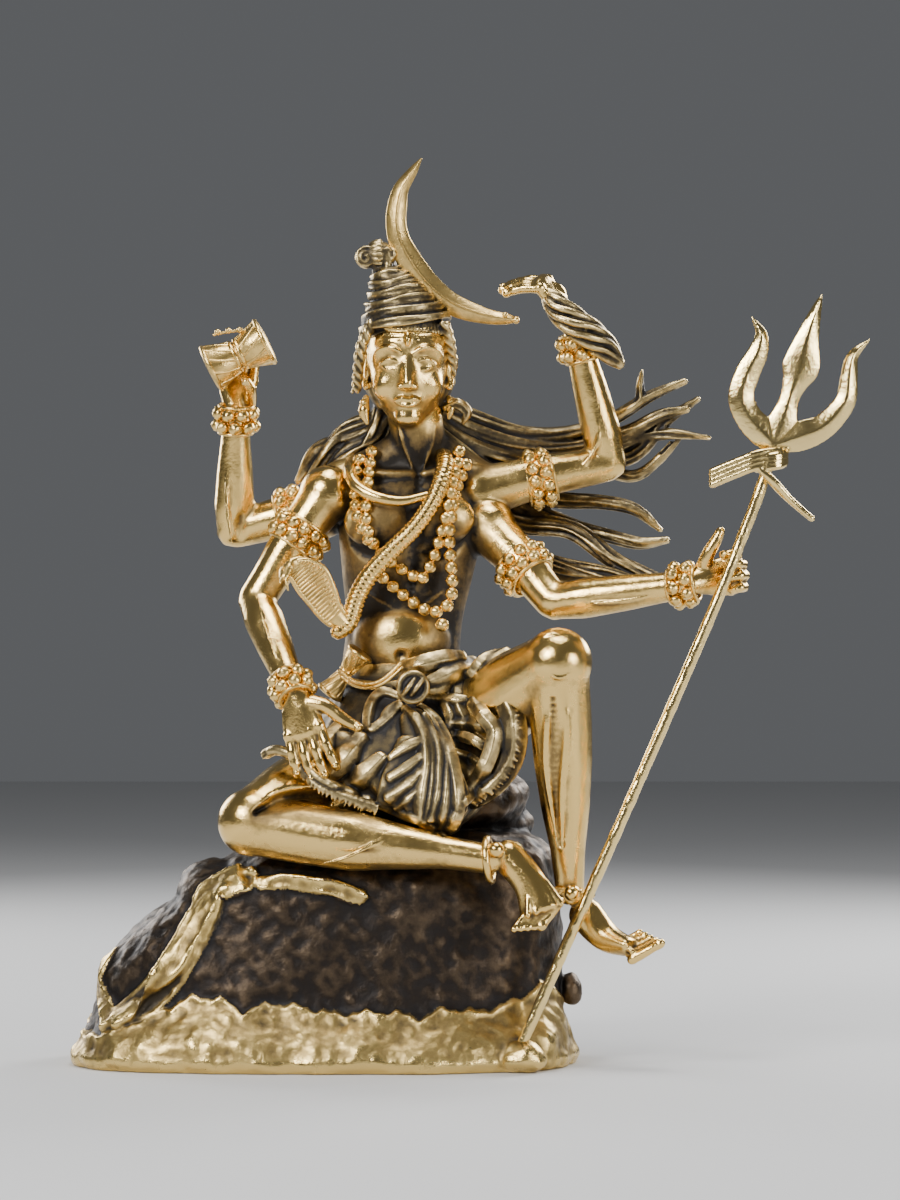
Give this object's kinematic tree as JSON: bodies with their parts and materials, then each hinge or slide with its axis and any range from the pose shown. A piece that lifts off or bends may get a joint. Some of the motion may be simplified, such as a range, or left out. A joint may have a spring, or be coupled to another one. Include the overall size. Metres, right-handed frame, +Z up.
{
  "type": "four-armed deity statue",
  "caption": "Cast brass statue of four-armed Shiva seated on a rock, with a crescent, a cobra, a drum and a trident rod that lifts out of the hand.",
  "frame": {"origin": "middle of the length and depth of the rock's flat underside", "axes": "+Z up, the figure faces -Y, +X to the viewer's right where the trident stands"},
  "size_m": [0.431, 0.1689, 0.4946],
  "materials": {
    "patinated_brass": "cast brass, dark brown patina in the hollows, rubbed bright on the raised places",
    "polished_brass": "hand-filed and polished golden brass"
  },
  "bodies": {
    "root": {"statue": "patinated_brass", "trident": "polished_brass"}
  },
  "joints": []
}
